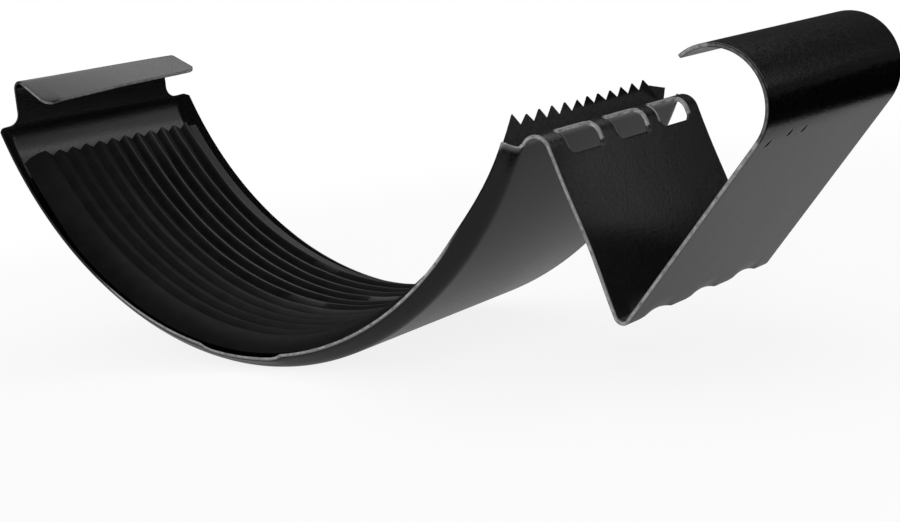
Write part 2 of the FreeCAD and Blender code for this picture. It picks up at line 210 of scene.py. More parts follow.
saddleRows, foldRows, windowRows, legRows, veeRows, outerRows, curlRows = 99, 18, 8, 18, 14, 26, 36
flapStart = flapRows + flapEndRows
riseStart = flapStart + flapBendRows
neckBendStart = riseStart + riseRows + filletRows
saddleStart = neckBendStart + neckBendRows
foldStart = saddleStart + saddleRows
legStart = foldStart + foldRows
veeStart = legStart + windowRows + legRows
outerStart = veeStart + veeRows
curlStart = outerStart + outerRows
lastRow = curlStart + curlRows


def easedSteps(length, count):
    marks = [length * (1 - math.cos(math.pi / 2 * index / count)) for index in range(count + 1)]
    return [after - before for before, after in zip(marks, marks[1:])]


def drawStrip(settings):
    wrap = settings["frontWrap"]
    start = heading(wrap - 90) * settings["floorRadius"] * mm + Vector((0, -settings["rimHalf"] * mm, seatLift * mm))
    piece = newVertex("unionSheet", start)
    pen = {"point": start.copy(), "heading": wrap}
    places = {}
    drawBend(pen, *settings["fold"], foldRows)
    places["legDirection"] = pen["heading"]
    windowStep = settings["windowDrop"] / 5
    drawLine(pen, windowStep * windowRows, windowRows)
    drawLine(pen, settings["innerLeg"] - windowStep * windowRows, legRows)
    places["vee"] = drawBend(pen, *settings["vee"], veeRows)
    drawLine(pen, settings["outerLeg"], outerRows)
    drawBend(pen, *settings["curl"], curlRows)
    bpy.ops.object.mode_set(mode="OBJECT")
    selectOnly(piece, [(vertex.co - start).length < 1e-6 for vertex in piece.data.vertices])
    pen = {"point": start.copy(), "heading": wrap + 180}
    drawBend(pen, settings["floorRadius"], -wrap - settings["neckWrap"], saddleRows)
    drawBend(pen, *settings["neckBend"], neckBendRows)
    places["notch"] = pen["point"].copy()
    drawSteps(pen, easedSteps(settings["neckFillet"], filletRows))
    drawLine(pen, settings["neckRise"] - settings["neckFillet"], riseRows)
    places["flapBend"] = drawBend(pen, *settings["flapBend"], flapBendRows)
    drawLine(pen, settings["flapReach"] - settings["flapCorner"], flapRows)
    drawSteps(pen, easedSteps(settings["flapCorner"], flapEndRows)[::-1])
    bpy.ops.object.mode_set(mode="OBJECT")
    flapEnd = min(range(len(piece.data.vertices)), key=lambda i: (piece.data.vertices[i].co - pen["point"]).length)
    return piece, flapEnd, places


def numberRows(piece, first):
    # counts along the chain from the flap's free edge to the curl's tip
    neighbours = {}
    for edge in piece.data.edges:
        a, b = edge.vertices
        neighbours.setdefault(a, []).append(b)
        neighbours.setdefault(b, []).append(a)
    rows = piece.data.attributes.new("row", "INT", "POINT")
    previous, current, count = None, first, 0
    while current is not None:
        rows.data[current].value = count
        following = [item for item in neighbours[current] if item != previous]
        previous, current, count = current, (following[0] if following else None), count + 1
    print("strip rows:", count - 1, "expected", lastRow)


def widenStrip(piece):
    outer = [27.5, 27.2, 26.8, 26.3, 25.8, 25.3, 24.8, 24.4, 24.1]
    half = outer + [0.5 * index for index in range(47, 0, -1)]
    columns = [-value for value in half] + [0.0] + half[::-1]
    bpy.ops.object.mode_set(mode="EDIT")
    bpy.ops.mesh.select_all(action="SELECT")
    for before, after in zip(columns, columns[1:]):
        step = (0, (after - before) * mm, 0)
        bpy.ops.mesh.extrude_region_move(TRANSFORM_OT_translate={"value": step})
    bpy.ops.object.mode_set(mode="OBJECT")


def trimRims(piece, settings):
    # the rims run along the saddle only
    rows = readAttribute(piece, "row", np.int32)
    side = np.abs(readPlaces(piece)[:, 1])
    beyond = (side > settings["floorHalf"] + 0.05) & ((rows < neckBendStart) | (rows > foldStart))
    selectOnly(piece, beyond)
    bpy.ops.mesh.delete(type="VERT")
    bpy.ops.object.mode_set(mode="OBJECT")


def squeeze(side, knee, half, settings):
    # narrows the columns outside the knee to a new half width
    share = (half - knee) / (settings["floorHalf"] - knee)
    size = np.abs(side)
    return np.where(size > knee, np.sign(side) * (knee + (size - knee) * share), side)


def pressSaddle(places, rows, settings):
    # rims, joggles and the flared front ends of the rims
    side = places[:, 1]
    low, high = settings["joggle"]
    ramp = smooth((np.abs(side) - low) / (high - low)) / smooth((settings["rimHalf"] - low) / (high - low))
    wrap = -settings["neckWrap"] + (rows - saddleStart) / saddleRows * (settings["frontWrap"] + settings["neckWrap"])
    depth = settings["floorRadius"] - settings["rimRadius"]
    flare = settings["frontFlare"] * smooth((wrap - 44) / (settings["frontWrap"] - 44))
    stretch = settings["frontStretch"] * smooth((wrap - 50) / (settings["frontWrap"] - 50))
    first, last = settings["lipRange"]
    lip = smooth((wrap - first) / 1.3) * smooth((last - wrap) / 1.0) * smooth((-side - 25.6) / 1.6)
    radius = settings["floorRadius"] - (depth - flare) * ramp + settings["lipDrop"] * lip
    angle = np.radians(wrap + stretch * ramp)
    saddle = (rows >= saddleStart) & (rows <= foldStart)
    places[saddle, 0] = (radius * np.sin(angle))[saddle]
    places[saddle, 2] = (-radius * np.cos(angle))[saddle]
    # at the back the rims run on while the floor turns up into the neck
    share = (saddleStart - rows) / neckBendRows
    cornerCut = 0.8 * smooth((np.abs(side) - 25.9) / 1.6) / 7.0
    share = share * (1 - cornerCut) * np.where(side > 0, 1 + settings["farRise"] / 7.0, 1.0)
    rimAngle = np.radians(settings["neckWrap"] + share * (settings["rearWrap"] - settings["neckWrap"]))
    root = (rows >= neckBendStart) & (rows < saddleStart)
    for axis, rim in ((0, -settings["rimRadius"] * np.sin(rimAngle)), (2, -settings["rimRadius"] * np.cos(rimAngle))):
        places[root, axis] = (places[:, axis] + (rim - places[:, axis]) * ramp)[root]


def shapeNeck(places, rows, marks, settings):
    # narrow neck with round roots, and the twisted flap
    side = places[:, 1].copy()
    half = np.full(len(rows), settings["neckHalf"])
    notch = np.array(marks["notch"]) / mm - (0, 0, seatLift)
    climb = np.hypot(places[:, 0] - notch[0], places[:, 2] - notch[2])
    fillet = settings["neckFillet"]
    inFillet = (rows >= riseStart) & (climb < fillet)
    half[inFillet] += (fillet - np.sqrt(np.maximum(fillet ** 2 - (fillet - climb) ** 2, 0)))[inFillet]
    marksEased = np.cumsum([0.0] + easedSteps(settings["flapCorner"], flapEndRows))
    corner = settings["flapCorner"]
    for row in range(flapEndRows + 1):
        gap = marksEased[row]
        half[rows == row] += -corner + math.sqrt(max(corner ** 2 - (corner - gap) ** 2, 0))
    neck = rows < neckBendStart
    bent = np.clip((riseStart - rows) / flapBendRows, 0, 1)
    reached = np.clip((flapStart - rows) / flapStart, 0, 1)
    half += (side > 0) * settings["flapFarEnd"] * smooth(bent) * (1 - 0.8 * reached)
    places[neck, 1] = squeeze(side, 17.0, half, settings)[neck]
    sag = -settings["flapSag"] * smooth(0.5 - side / (2 * settings["neckHalf"]))
    lift = np.where(rows >= riseStart, climb / settings["neckRise"], 1.0)
    places[neck, 2] += (sag * lift)[neck]
    bend = np.array(marks["flapBend"]) / mm - (0, 0, seatLift)
    base, nearTwist, farTwist = settings["flapTwist"]
    turn = np.radians((base + np.where(side < 0, nearTwist, farTwist) * side / settings["neckHalf"]) * bent)
    flap = rows < riseStart
    across, up = places[:, 0] - bend[0], places[:, 2] - bend[2] - sag
    places[flap, 0] = (bend[0] + across * np.cos(turn) + up * np.sin(turn))[flap]
    places[flap, 2] = (bend[2] + sag - across * np.sin(turn) + up * np.cos(turn))[flap]


def shapeClip(places, rows, marks, settings):
    # strip width, the slightly skewed vee and its three pressed darts
    clip = rows > foldStart
    places[clip, 1] = squeeze(places[:, 1], 22.0, settings["clipHalf"], settings)[clip]
    side = places[:, 1]
    vee = np.array(marks["vee"]) / mm - (0, 0, seatLift)
    opening = 180 - settings["vee"][1]
    bisector = heading(marks["legDirection"] + 180 - opening / 2)
    up = np.array((bisector.x, 0, bisector.z))
    apex = vee - up * settings["vee"][0]
    height = (places - apex) @ up
    width, depth = settings["dartWidth"], settings["dartDepth"]
    dartRadius = ((width / 2) ** 2 + depth ** 2) / (2 * depth)
    press = np.zeros(len(rows))
    for middle in settings["dartMiddles"]:
        reach = np.minimum(np.abs(side - middle), width / 2)
        press = np.maximum(press, np.sqrt(dartRadius ** 2 - reach ** 2) - dartRadius + depth)
    short = press - height
    ease = 0.25 * press / depth
    near = (rows > legStart + windowRows) & (rows < curlStart)
    move = (short + np.sqrt(short ** 2 + ease ** 2)) / 2 * (press > 0)
    places[near] += (move[:, None] * up)[near]
    # skew along the gutter and the bow of the inner leg
    legPart = np.clip((rows - legStart) / (veeStart - legStart), 0, 1)
    outerPart = np.clip((curlStart - rows) / (curlStart - outerStart), 0, 1)
    weight = np.where(rows < veeStart, legPart, outerPart) * clip
    base, perHalf = settings["veeSkew"]
    places[:, 2] += weight * (base + perHalf * side / settings["clipHalf"])
    bow = np.sin(np.pi * np.clip((legPart - 0.35) / 0.65, 0, 1)) ** 2
    places[:, 0] += settings["legBow"] * bow * (rows < veeStart) * clip


def openWindows(piece, settings):
    # round-cornered holes in the fold, their edges set on the true outline
    rows = readAttribute(piece, "row", np.int32)
    places = readPlaces(piece)
    foldStep = math.radians(-settings["fold"][1]) * settings["fold"][0] / foldRows
    legStep = settings["windowDrop"] / 5
    along = np.where(rows <= legStart, (legStart - rows) * foldStep, (legStart - rows) * legStep)
    zone = (rows > foldStart) & (rows <= legStart + windowRows)
    middles = np.array(settings["windowMiddles"])
    nearest = middles[np.abs(places[:, 1, None] - middles).argmin(1)]
    centre = (settings["windowRise"] - settings["windowDrop"]) / 2
    halfAlong = (settings["windowRise"] + settings["windowDrop"]) / 2
    corner = settings["windowCorner"]
    local = np.stack((places[:, 1] - nearest, along - centre), 1)
    core = np.minimum(np.abs(local), (settings["windowHalf"] - corner, halfAlong - corner))
    spread = np.abs(local) - core
    gap = np.hypot(*spread.T)
    cut = np.array([zone[list(face.vertices)].all() and gap[list(face.vertices)].mean() < corner
                    for face in piece.data.polygons])
    inCut, inKept = np.zeros((2, len(rows)), bool)
    for face, gone in zip(piece.data.polygons, cut):
        (inCut if gone else inKept)[list(face.vertices)] = True
    edge = inCut & inKept
    outline = np.sign(local) * (core + spread * (corner / np.maximum(gap, 1e-6))[:, None])
    order = np.argsort(along[zone])
    path = along[zone][order], places[zone][order]
    places[edge, 1] = (nearest + outline[:, 0])[edge]
    for axis in (0, 2):
        places[edge, axis] = np.interp(outline[edge, 1] + centre, path[0], path[1][:, axis])
    writePlaces(piece, places)
    # a lighter grey ring on the paint round each window's top and sides, none at the bottom: partly worn paint at the
    # cut, partly a painted highlight
    sides, top = settings["windowWearAndHighlight"]
    beyond = np.where(local[:, 1] > halfAlong - corner, top, sides)
    wearAndHighlight = zone & (gap - corner < beyond) & (rows <= legStart + 2)
    piece.data.attributes.new("wearAndHighlight", "FLOAT", "POINT").data.foreach_set("value", wearAndHighlight.astype(float))
    selectOnly(piece, cut, "polygons")
    bpy.ops.mesh.delete(type="FACE")
    bpy.ops.object.mode_set(mode="OBJECT")
    print("window faces cut:", int(cut.sum()))


def markEdges(piece, rows, side):
    # how far the paint is off along the edges, as the photograph shows, with painted shade at the windows' bottom edges
    used = np.zeros(len(piece.data.loops), np.int32)
    piece.data.loops.foreach_get("edge_index", used)
    ends = np.zeros(len(piece.data.edges) * 2, np.int32)
    piece.data.edges.foreach_get("vertices", ends)
    single = np.bincount(used, minlength=len(piece.data.edges)) == 1
    onEdge = np.zeros(len(rows), bool)
    onEdge[ends.reshape(-1, 2)[single].ravel()] = True
    along = (rows - saddleStart) / saddleRows
    bareAndShade = np.full(len(rows), 0.85)
    saddle = (rows >= neckBendStart) & (rows < foldStart)
    bareAndShade[saddle] = (smooth((along - 0.20) / 0.07) * smooth((0.90 - along) / 0.06))[saddle]
    bareAndShade[(rows < neckBendStart)] = 0.1
    bareAndShade[rows <= flapRows + flapEndRows] = 0.75
    bareAndShade[(rows > curlStart)] = 0.3
    bareAndShade[(rows > lastRow - 8)] = 0.8
    # painted shade at the windows: their bottom cut edges, and the fold's edges above their tops, are kept near black;
    # their top and side edges stay bright steel
    inFold = (rows > foldStart) & (rows < veeStart) & (np.abs(side) < 21)
    bareAndShade[inFold] = np.where(rows > legStart + 2, 0.15, np.where(rows < foldStart + 8, 0.1, 1.0))[inFold]
    bareAndShade[(rows == foldStart) & (side > 0)] = 0.2
    wearAndHighlight = np.maximum(bareAndShade * onEdge, readAttribute(piece, "wearAndHighlight", float))
    piece.data.attributes["wearAndHighlight"].data.foreach_set("value", wearAndHighlight)
    piece.data.attributes.new("bareAndShade", "FLOAT", "POINT").data.foreach_set("value", bareAndShade * onEdge)


def makeSheet(settings):
    piece, flapEnd, marks = drawStrip(settings)
    numberRows(piece, flapEnd)
    widenStrip(piece)
    trimRims(piece, settings)
    openWindows(piece, settings)
    rows = readAttribute(piece, "row", np.int32)
    places = readPlaces(piece)
    pressSaddle(places, rows, settings)
    shapeNeck(places, rows, marks, settings)
    shapeClip(places, rows, marks, settings)
    markEdges(piece, rows, places[:, 1])
    writePlaces(piece, places)
    piece.data.attributes.remove(piece.data.attributes["row"])
    bpy.ops.object.mode_set(mode="EDIT")
    bpy.ops.mesh.select_all(action="SELECT")
    bpy.ops.mesh.normals_make_consistent(inside=False)
    bpy.ops.object.mode_set(mode="OBJECT")
    lowest = min(piece.data.polygons, key=lambda face: abs(face.center.x) + abs(face.center.y))
    if lowest.normal.z < 0:  # the gutter side faces up at the bottom of the saddle
        bpy.ops.object.mode_set(mode="EDIT")
        bpy.ops.mesh.flip_normals()
        bpy.ops.object.mode_set(mode="OBJECT")
    return piece


unionSheet = makeSheet(sheetSettings)
print("sheet drawn:", len(unionSheet.data.polygons), "faces")


# The gasket: a ribbed section spun round the saddle's axis, its ends cut upright
gasketSettings = {
    "bondRadius": 80.1,
    "valleyRadius": 76.1,
    "tipRadius": 75.0,
    "half": 23.7,
    "ribCount": 12,
    "ribPitch": 3.75,
    "tipHalf": 0.25,
    "nearEdge": 77.3,
    "farEdge": 75.9,
    "wrap": 68.7,
    "steps": 120,
    "frontReach": 66.3,
    "rearReach": -67.1,
    "frontLip": 3.6,
    "nearLip": 2.8,
    "frontDrops": (0.0, 0.25, 0.2, 0.2, 0.2, 0.25, 0.1, 0.0, 0.1, 0.0, 0.0, 0.0),
}


def gasketSection(settings):
    half, pitch, tip = settings["half"], settings["ribPitch"], settings["tipHalf"]
    crown = settings["tipRadius"] + 0.03
    first = -(settings["ribCount"] - 1) / 2 * pitch - tip
    section = [(-half, settings["bondRadius"])]
    for step in range(6):
        share = step / 6
        section.append((-half + share * (first + half), settings["nearEdge"] + share * (crown - settings["nearEdge"])))
    for index in range(settings["ribCount"]):
        middle = (index - (settings["ribCount"] - 1) / 2) * pitch
        if index:
            section.append((middle - pitch / 2, settings["valleyRadius"]))
        section += [(middle - tip, crown), (middle, settings["tipRadius"]), (middle + tip, crown)]
    section.append((middle + 0.95, settings["farEdge"]))
    section.append((half, settings["farEdge"]))
    section.append((half, settings["bondRadius"]))
    return section


def makeGasket(settings):
    section = gasketSection(settings)
    out = heading(-90 - settings["wrap"])
    corners = [out * radius * mm + Vector((0, side * mm, seatLift * mm)) for side, radius in section]
    piece = newVertex("ribbedGasket", corners[0])
    for before, after in zip(corners, corners[1:]):
        bpy.ops.mesh.extrude_region_move(TRANSFORM_OT_translate={"value": after - before})
    bpy.ops.object.mode_set(mode="OBJECT")
    selectOnly(piece, [min((vertex.co - corners[0]).length, (vertex.co - corners[-1]).length) < 1e-6
                       for vertex in piece.data.vertices])
    bpy.ops.mesh.edge_face_add()
    bpy.ops.mesh.select_all(action="SELECT")
    bpy.ops.mesh.spin(steps=settings["steps"], angle=math.radians(2 * settings["wrap"]),
                      center=(0, 0, seatLift * mm), axis=(0, 1, 0))
    bpy.ops.object.mode_set(mode="OBJECT")
    places = readPlaces(piece)
    crest = wearRibs(places, settings)
    writePlaces(piece, places)
    piece.data.attributes.new("crest", "FLOAT", "POINT").data.foreach_set("value", crest)
    bpy.ops.object.mode_set(mode="EDIT")
    for reach, way in ((settings["frontReach"], 1), (settings["rearReach"], -1)):
        bpy.ops.mesh.select_all(action="SELECT")
        bpy.ops.mesh.bisect(plane_co=(reach * mm, 0, 0), plane_no=(way, 0, 0), clear_outer=True, use_fill=True)
    bpy.ops.mesh.select_all(action="SELECT")
    bpy.ops.mesh.remove_doubles(threshold=1e-6)
    bpy.ops.mesh.normals_make_consistent(inside=False)
    bpy.ops.object.mode_set(mode="OBJECT")
    return piece


def wearRibs(places, settings):
    # soft rubber: crests wander, the near ribs lie pressed flat in a round shoulder, the far ones lean at the front
    radius = np.hypot(places[:, 0], places[:, 2])
    angle = np.degrees(np.arctan2(places[:, 0], -places[:, 2]))
    side = places[:, 1].copy()
    crest = np.clip((settings["valleyRadius"] - radius) / (settings["valleyRadius"] - settings["tipRadius"]), 0, 1)
    rib = np.rint(side / settings["ribPitch"] + (settings["ribCount"] - 1) / 2).clip(0, settings["ribCount"] - 1)
    drops = np.array(settings["frontDrops"])[rib.astype(int)]
    front = smooth((angle - 42) / 18)
    wander = 0.07 * np.sin(angle / 7.0 + 2.1 * rib) + 0.05 * np.sin(angle / 2.9 + 1.3 * rib)
    lean = 0.08 * np.sin(angle / 5.0 + 1.7 * rib) - 0.7 * smooth((rib - 5) / 2) * front
    upper = radius < 79
    radius = radius + crest * (drops * front + np.abs(wander))
    near = smooth((2 - side) / 8)
    radius = radius + crest * (1 - front) * (0.3 * near + (0.5 - 0.2 * near) * smooth((-54 - angle) / 9))
    outward = np.clip((-20.5 - side) / 3.2, 0, 1)
    droop = 1.95 - 1.1 * smooth((-42 - angle) / 12)
    shoulder = 75.5 + droop * outward ** 2 + 0.6 * smooth((side + 20.5) / 1.8)
    behind = smooth((44 - angle) / 12) * upper
    radius = radius + (shoulder - radius) * behind * smooth((-17.6 - side) / 1.2)
    end = smooth((angle - 48) / 10) * upper * (side > 21.2)
    radius = radius + end * np.where(side > 23, 0.3, -0.3)
    lip = settings["frontLip"] * end * (side > 23) - settings["nearLip"] * outward * behind
    places[:, 0] = radius * np.sin(np.radians(angle))
    places[:, 2] = -radius * np.cos(np.radians(angle))
    places[:, 1] = side + lean * crest * (np.abs(side) < 21) + lip
    # the crest mask, faded out over the near half, carries a painted highlight on the rib crests
    return crest * smooth((side + 10) / 14)


ribbedGasket = makeGasket(gasketSettings)
print("gasket drawn:", len(ribbedGasket.data.polygons), "faces")


# Finishes
def makeMaterial(name):
    material = bpy.data.materials.new(name)
    material.use_nodes = True
    shader = material.node_tree.nodes["Principled BSDF"]
    return material, material.node_tree, shader


def addNode(tree, kind, links=(), **values):
    node = tree.nodes.new(kind)
    for key, value in values.items():
        if key in node.inputs.keys():
            node.inputs[key].default_value = value
        else:
            setattr(node, key, value)
    for source, target in links:
        tree.links.new(source, node.inputs[target])
    return node


def addRamp(tree, source, marks):
    ramp = addNode(tree, "ShaderNodeValToRGB", [(source, "Fac")])
    elements = ramp.color_ramp.elements
    while len(elements) < len(marks):
        elements.new(0.5)
    for element, (place, colour) in zip(elements, marks):
        element.position = place
        element.color = (*colour, 1) if isinstance(colour, tuple) else (colour, colour, colour, 1)
    return ramp


def addMix(tree, factor, first, second):
    node = addNode(tree, "ShaderNodeMix", data_type="RGBA")
    for index, value in ((0, factor), (6, first), (7, second)):
        if isinstance(value, tuple):
            node.inputs[index].default_value = (*value, 1)
        else:
            tree.links.new(value, node.inputs[index])
    return node.outputs[2]


paintSettings = {
    "dark": (0.0003, 0.0003, 0.0003),
    "light": (0.0060, 0.0060, 0.0063),
    "roughness": (0.16, 0.26),
    "grainScale": 2300.0,
    "waveScale": 55.0,
    "dents": ((112.39, -20.26, 32.29), (112.97, -14.28, 32.91), (112.81, -9.37, 32.73)),
    "dentSize": 0.85,
    "wearAndHighlight": (0.36, 0.36, 0.365),
    "wearAndHighlightFrom": (0.25, 0.95),
}


def paintFinish(settings):
    material, tree, shader = makeMaterial("black coil paint")
    where = addNode(tree, "ShaderNodeTexCoord").outputs["Object"]
    grain = addNode(tree, "ShaderNodeTexNoise", [(where, "Vector")], Scale=settings["grainScale"], Detail=3.0)
    cloud = addNode(tree, "ShaderNodeTexNoise", [(where, "Vector")], Scale=settings["waveScale"], Detail=4.0)
    tone = addRamp(tree, grain.outputs["Fac"], [(0.36, settings["dark"]), (0.68, settings["light"])])
    # worn paint and painted highlight: the attribute lightens the paint to grey along the cut edges and round the
    # windows
    wearAndHighlightMask = addNode(tree, "ShaderNodeAttribute", attribute_name="wearAndHighlight")
    wearAndHighlight = addNode(tree, "ShaderNodeMapRange", [(wearAndHighlightMask.outputs["Fac"], "Value")], interpolation_type="SMOOTHSTEP")
    wearAndHighlight.inputs["From Min"].default_value, wearAndHighlight.inputs["From Max"].default_value = settings["wearAndHighlightFrom"]
    wearAndHighlight.inputs["To Max"].default_value = 0.8
    mixed = addMix(tree, wearAndHighlight.outputs["Result"], tone.outputs["Color"], settings["wearAndHighlight"])
    tree.links.new(mixed, shader.inputs["Base Color"])
    low, high = settings["roughness"]
    gloss = addNode(tree, "ShaderNodeMapRange", [(grain.outputs["Fac"], "Value")])
    gloss.inputs["From Min"].default_value = 0.3
    gloss.inputs["From Max"].default_value = 0.7
    gloss.inputs["To Min"].default_value = low
    gloss.inputs["To Max"].default_value = high
    tree.links.new(gloss.outputs["Result"], shader.inputs["Roughness"])
    peel = addNode(tree, "ShaderNodeBump", [(grain.outputs["Fac"], "Height")], Strength=0.8, Distance=0.00004)
    wave = addNode(tree, "ShaderNodeBump", [(cloud.outputs["Fac"], "Height"), (peel.outputs["Normal"], "Normal")],
                   Strength=0.10, Distance=0.0008)
    depth = None
    for place in settings["dents"]:
        reach = addNode(tree, "ShaderNodeVectorMath", [(where, 0)], operation="DISTANCE")
        reach.inputs[1].default_value = Vector(place) * mm
        rise = addNode(tree, "ShaderNodeMapRange", [(reach.outputs["Value"], "Value")], interpolation_type="SMOOTHSTEP")
        rise.inputs["From Max"].default_value = settings["dentSize"] * mm
        both = addNode(tree, "ShaderNodeMath", [(rise.outputs["Result"], 0)], operation="MULTIPLY")
        if depth is None:
            both.inputs[1].default_value = 1.0
        else:
            tree.links.new(depth, both.inputs[1])
        depth = both.outputs[0]
    dent = addNode(tree, "ShaderNodeBump", [(depth, "Height"), (wave.outputs["Normal"], "Normal")],
                   Strength=1.0, Distance=0.0009)
    tree.links.new(dent.outputs["Normal"], shader.inputs["Normal"])
    return material


cutSettings = {
    "dark": (0.16, 0.16, 0.165),
    "light": (0.62, 0.62, 0.63),
    "painted": (0.004, 0.004, 0.004),
}


def cutFinish(settings):
    material, tree, shader = makeMaterial("cut steel edge")
    where = addNode(tree, "ShaderNodeTexCoord").outputs["Object"]
    streak = addNode(tree, "ShaderNodeTexNoise", [(where, "Vector")], Scale=900.0, Detail=5.0)
    tone = addRamp(tree, streak.outputs["Fac"], [(0.28, settings["dark"]), (0.6, settings["light"])])
    # bright steel on bare edges; near black on painted edges and on edges kept dark as painted shade
    bareAndShade = addNode(tree, "ShaderNodeAttribute", attribute_name="bareAndShade")
    tree.links.new(addMix(tree, bareAndShade.outputs["Fac"], settings["painted"], tone.outputs["Color"]),
                   shader.inputs["Base Color"])
    shader.inputs["Metallic"].default_value = 0.0
    shader.inputs["Roughness"].default_value = 0.5
    burr = addNode(tree, "ShaderNodeBump", [(streak.outputs["Fac"], "Height")], Strength=0.3, Distance=0.00005)
    tree.links.new(burr.outputs["Normal"], shader.inputs["Normal"])
    return material


rubberSettings = {
    "dark": (0.0018, 0.0018, 0.0019),
    "light": (0.0042, 0.0042, 0.0043),
    "crest": (0.014, 0.014, 0.0145),
    "dullness": (-0.012, 0.006, 0.66, 0.36),
    "endDark": (0.018, 0.018, 0.018),
    "endLight": (0.040, 0.040, 0.040),
}


def rubberFinish(settings):
    material, tree, shader = makeMaterial("gasket rubber")
    where = addNode(tree, "ShaderNodeTexCoord").outputs["Object"]
    bloom = addNode(tree, "ShaderNodeTexNoise", [(where, "Vector")], Scale=300.0, Detail=5.0)
    tone = addRamp(tree, bloom.outputs["Fac"], [(0.35, settings["dark"]), (0.7, settings["light"])])
    # painted highlight: the rib crests lighter in colour, in the far half only
    crest = addNode(tree, "ShaderNodeAttribute", attribute_name="crest")
    wearAndHighlight = addNode(tree, "ShaderNodeMath", [(crest.outputs["Fac"], 0)], operation="POWER")
    wearAndHighlight.inputs[1].default_value = 5.0
    tree.links.new(addMix(tree, wearAndHighlight.outputs[0], tone.outputs["Color"], settings["crest"]),
                   shader.inputs["Base Color"])
    pores = addNode(tree, "ShaderNodeTexNoise", [(where, "Vector")], Scale=2200.0, Detail=3.0)
    skin = addNode(tree, "ShaderNodeBump", [(pores.outputs["Fac"], "Height")], Strength=0.25, Distance=0.00006)
    tree.links.new(skin.outputs["Normal"], shader.inputs["Normal"])
    across = addNode(tree, "ShaderNodeSeparateXYZ", [(where, "Vector")]).outputs["Y"]
    dull = addNode(tree, "ShaderNodeMapRange", [(across, "Value")], interpolation_type="SMOOTHSTEP")
    for key, value in zip(("From Min", "From Max", "To Min", "To Max"), settings["dullness"]):
        dull.inputs[key].default_value = value
    tree.links.new(dull.outputs["Result"], shader.inputs["Roughness"])
    shader.inputs["Specular IOR Level"].default_value = 0.33
    return material


def rubberEndAndLightFinish(settings):
    material, tree, shader = makeMaterial("rubber end and painted light")
    where = addNode(tree, "ShaderNodeTexCoord").outputs["Object"]
    tear = addNode(tree, "ShaderNodeTexNoise", [(where, "Vector")], Scale=1400.0, Detail=4.0)
    # painted light: the end face is a lighter grey than the body, partly the cut rubber's own tone; the teeth on it
    # stay near black
    tone = addRamp(tree, tear.outputs["Fac"], [(0.3, settings["endDark"]), (0.7, settings["endLight"])])
    crest = addNode(tree, "ShaderNodeAttribute", attribute_name="crest")
    tooth = addRamp(tree, crest.outputs["Fac"], [(0.0, 0.0), (0.35, 1.0)])
    tree.links.new(addMix(tree, tooth.outputs["Color"], tone.outputs["Color"], settings["dark"]),
                   shader.inputs["Base Color"])
    shader.inputs["Roughness"].default_value = 0.7
    return material


coilPaint = paintFinish(paintSettings)
cutSteel = cutFinish(cutSettings)
gasketRubber = rubberFinish(rubberSettings)
rubberEndAndLight = rubberEndAndLightFinish(rubberSettings)


def finishSheet(piece, settings):
    bpy.ops.object.select_all(action="DESELECT")
    piece.select_set(True)
    bpy.context.view_layer.objects.active = piece
    piece.data.materials.clear()
    piece.data.materials.append(coilPaint)
    piece.data.materials.append(cutSteel)
    finishModifier(piece, "SOLIDIFY", "sheet thickness", thickness=settings["gauge"] * mm, offset=-1.0,
                   use_even_offset=True, material_offset_rim=1)
    finishModifier(piece, "BEVEL", "broken arris", width=settings["arris"] * mm, segments=2, limit_method="ANGLE",
                   angle_limit=math.radians(50), offset_type="ABSOLUTE", use_clamp_overlap=False, material=0)
    places = readPlaces(piece)
    places[:, 1] = np.clip(places[:, 1], -settings["rimHalf"], settings["rimHalf"])
    writePlaces(piece, places)
    bpy.ops.object.shade_smooth_by_angle(angle=math.radians(35))
    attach(piece, "root")
    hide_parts("union_sheet")


def finishGasket(piece):
    bpy.ops.object.select_all(action="DESELECT")
    piece.select_set(True)
    bpy.context.view_layer.objects.active = piece
    piece.data.materials.clear()
    piece.data.materials.append(gasketRubber)
    piece.data.materials.append(rubberEndAndLight)
    for face in piece.data.polygons:
        face.material_index = int(abs(face.normal.x) > 0.99)
    bpy.ops.object.shade_smooth_by_angle(angle=math.radians(24))
    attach(piece, "root")
    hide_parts("gasket")


finishSheet(unionSheet, sheetSettings)
finishGasket(ribbedGasket)
print("pieces finished:", len(unionSheet.data.polygons), len(ribbedGasket.data.polygons))


# Floor, light and the white surround
studioSettings = {
    "floorSize": 6.0,
    "floorWhite": 0.86,
    "floorTones": (0.15, 0.9),
    "floorFade": (0.11, 0.34),
    "floorGloss": 0.32,
    "surround": 0.04,
    "surroundGloss": 0.0,
    "cardCorner": (0.131, 0.065),
    "cardTurn": 19.0,
}
# name: place, size, radiance, seen in gloss
softboxes = {
    "overhead": ((0.0, 0.0, 0.7), (1.6, 1.6), 0.7, False),
    "frontFill": ((0.45, -0.6, 0.35), (0.7, 0.7), 2.4, False),
    "farPanel": ((-0.05, 0.70, 0.85), (2.2, 0.46), 1.1, True),
    "sideGlow": ((0.665, 0.635, 0.420), (0.31, 0.54), 0.85, True),
}


def addMath(tree, operation, *terms):
    node = addNode(tree, "ShaderNodeMath", operation=operation)
    for index, term in enumerate(terms):
        if isinstance(term, (int, float)):
            node.inputs[index].default_value = term
        else:
            tree.links.new(term, node.inputs[index])
    return node.outputs[0]


def whiteFactor(tree, share, glossShare):
    # its share to the camera and through glass, another share in gloss
    path = addNode(tree, "ShaderNodeLightPath").outputs
    seen = addMath(tree, "MAXIMUM", path["Is Camera Ray"], path["Is Transmission Ray"])
    gloss = addMath(tree, "MULTIPLY", path["Is Glossy Ray"], glossShare)
    return addMath(tree, "MAXIMUM", addMath(tree, "MULTIPLY", seen, share), gloss)


